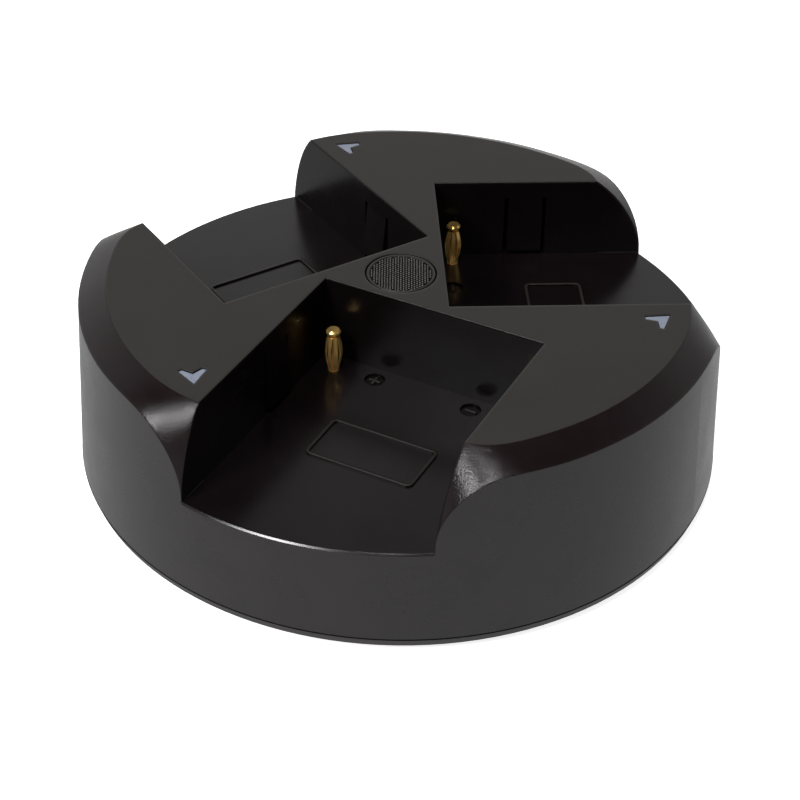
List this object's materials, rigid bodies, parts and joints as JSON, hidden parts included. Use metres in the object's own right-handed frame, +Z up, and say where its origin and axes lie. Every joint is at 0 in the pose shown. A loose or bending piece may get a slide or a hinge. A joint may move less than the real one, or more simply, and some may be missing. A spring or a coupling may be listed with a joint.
{
  "type": "battery charger",
  "caption": "Round battery charger with open bays set like a pinwheel, flared lobes between them, upright contact pins and arrow-shaped indicator windows.",
  "frame": {"origin": "centre of the round housing, at the level on which the feet stand", "axes": "+Z up along the housing's axis, -Y out through the mouth of the first bay, +Y out through the low-voltage inlet"},
  "size_m": [0.111, 0.111, 0.0349],
  "materials": {
    "housing_black": "fine moulded texture, satin bays",
    "cover_black": "satin",
    "disc_black": "finely knurled",
    "board_green": "solder mask",
    "connector_black": "satin",
    "inlet_metal": "nickel plated",
    "screw_steel": "zinc plated",
    "foot_rubber": "matte",
    "window_grey": "clear smoked light pipe",
    "led_white": "satin",
    "inductor_dark": "ferrite",
    "can_aluminium": "satin",
    "chip_black": "moulded",
    "contact_gold": "gold plated"
  },
  "bodies": {
    "root": {"upper_housing": "housing_black", "base_cover": "cover_black", "centre_disc": "disc_black", "main_circuit_board": "board_green", "dc_inlet_jack": "connector_black", "dc_inlet_pin": "inlet_metal", "board_screws": "screw_steel", "cover_screws": "screw_steel", "rubber_foot_1": "foot_rubber", "rubber_foot_2": "foot_rubber", "rubber_foot_3": "foot_rubber", "indicator_window_1": "window_grey", "indicator_window_2": "window_grey", "indicator_window_3": "window_grey", "indicator_led_1": "led_white", "indicator_led_2": "led_white", "indicator_led_3": "led_white", "inductor_1": "inductor_dark", "inductor_2": "inductor_dark", "inductor_3": "inductor_dark", "capacitor_1": "can_aluminium", "capacitor_2": "can_aluminium", "capacitor_3": "can_aluminium", "charge_controller_1": "chip_black", "charge_controller_2": "chip_black", "charge_controller_3": "chip_black", "power_transistor_1": "chip_black", "power_transistor_2": "chip_black", "power_transistor_3": "chip_black", "contact_pin_1": "contact_gold", "contact_pin_2": "contact_gold", "contact_pin_3": "contact_gold", "contact_pin_4": "contact_gold", "contact_pin_5": "contact_gold", "contact_pin_6": "contact_gold", "contact_spring_1": "contact_gold", "contact_spring_2": "contact_gold", "contact_spring_3": "contact_gold", "contact_spring_4": "contact_gold", "contact_spring_5": "contact_gold", "contact_spring_6": "contact_gold"}
  },
  "joints": []
}
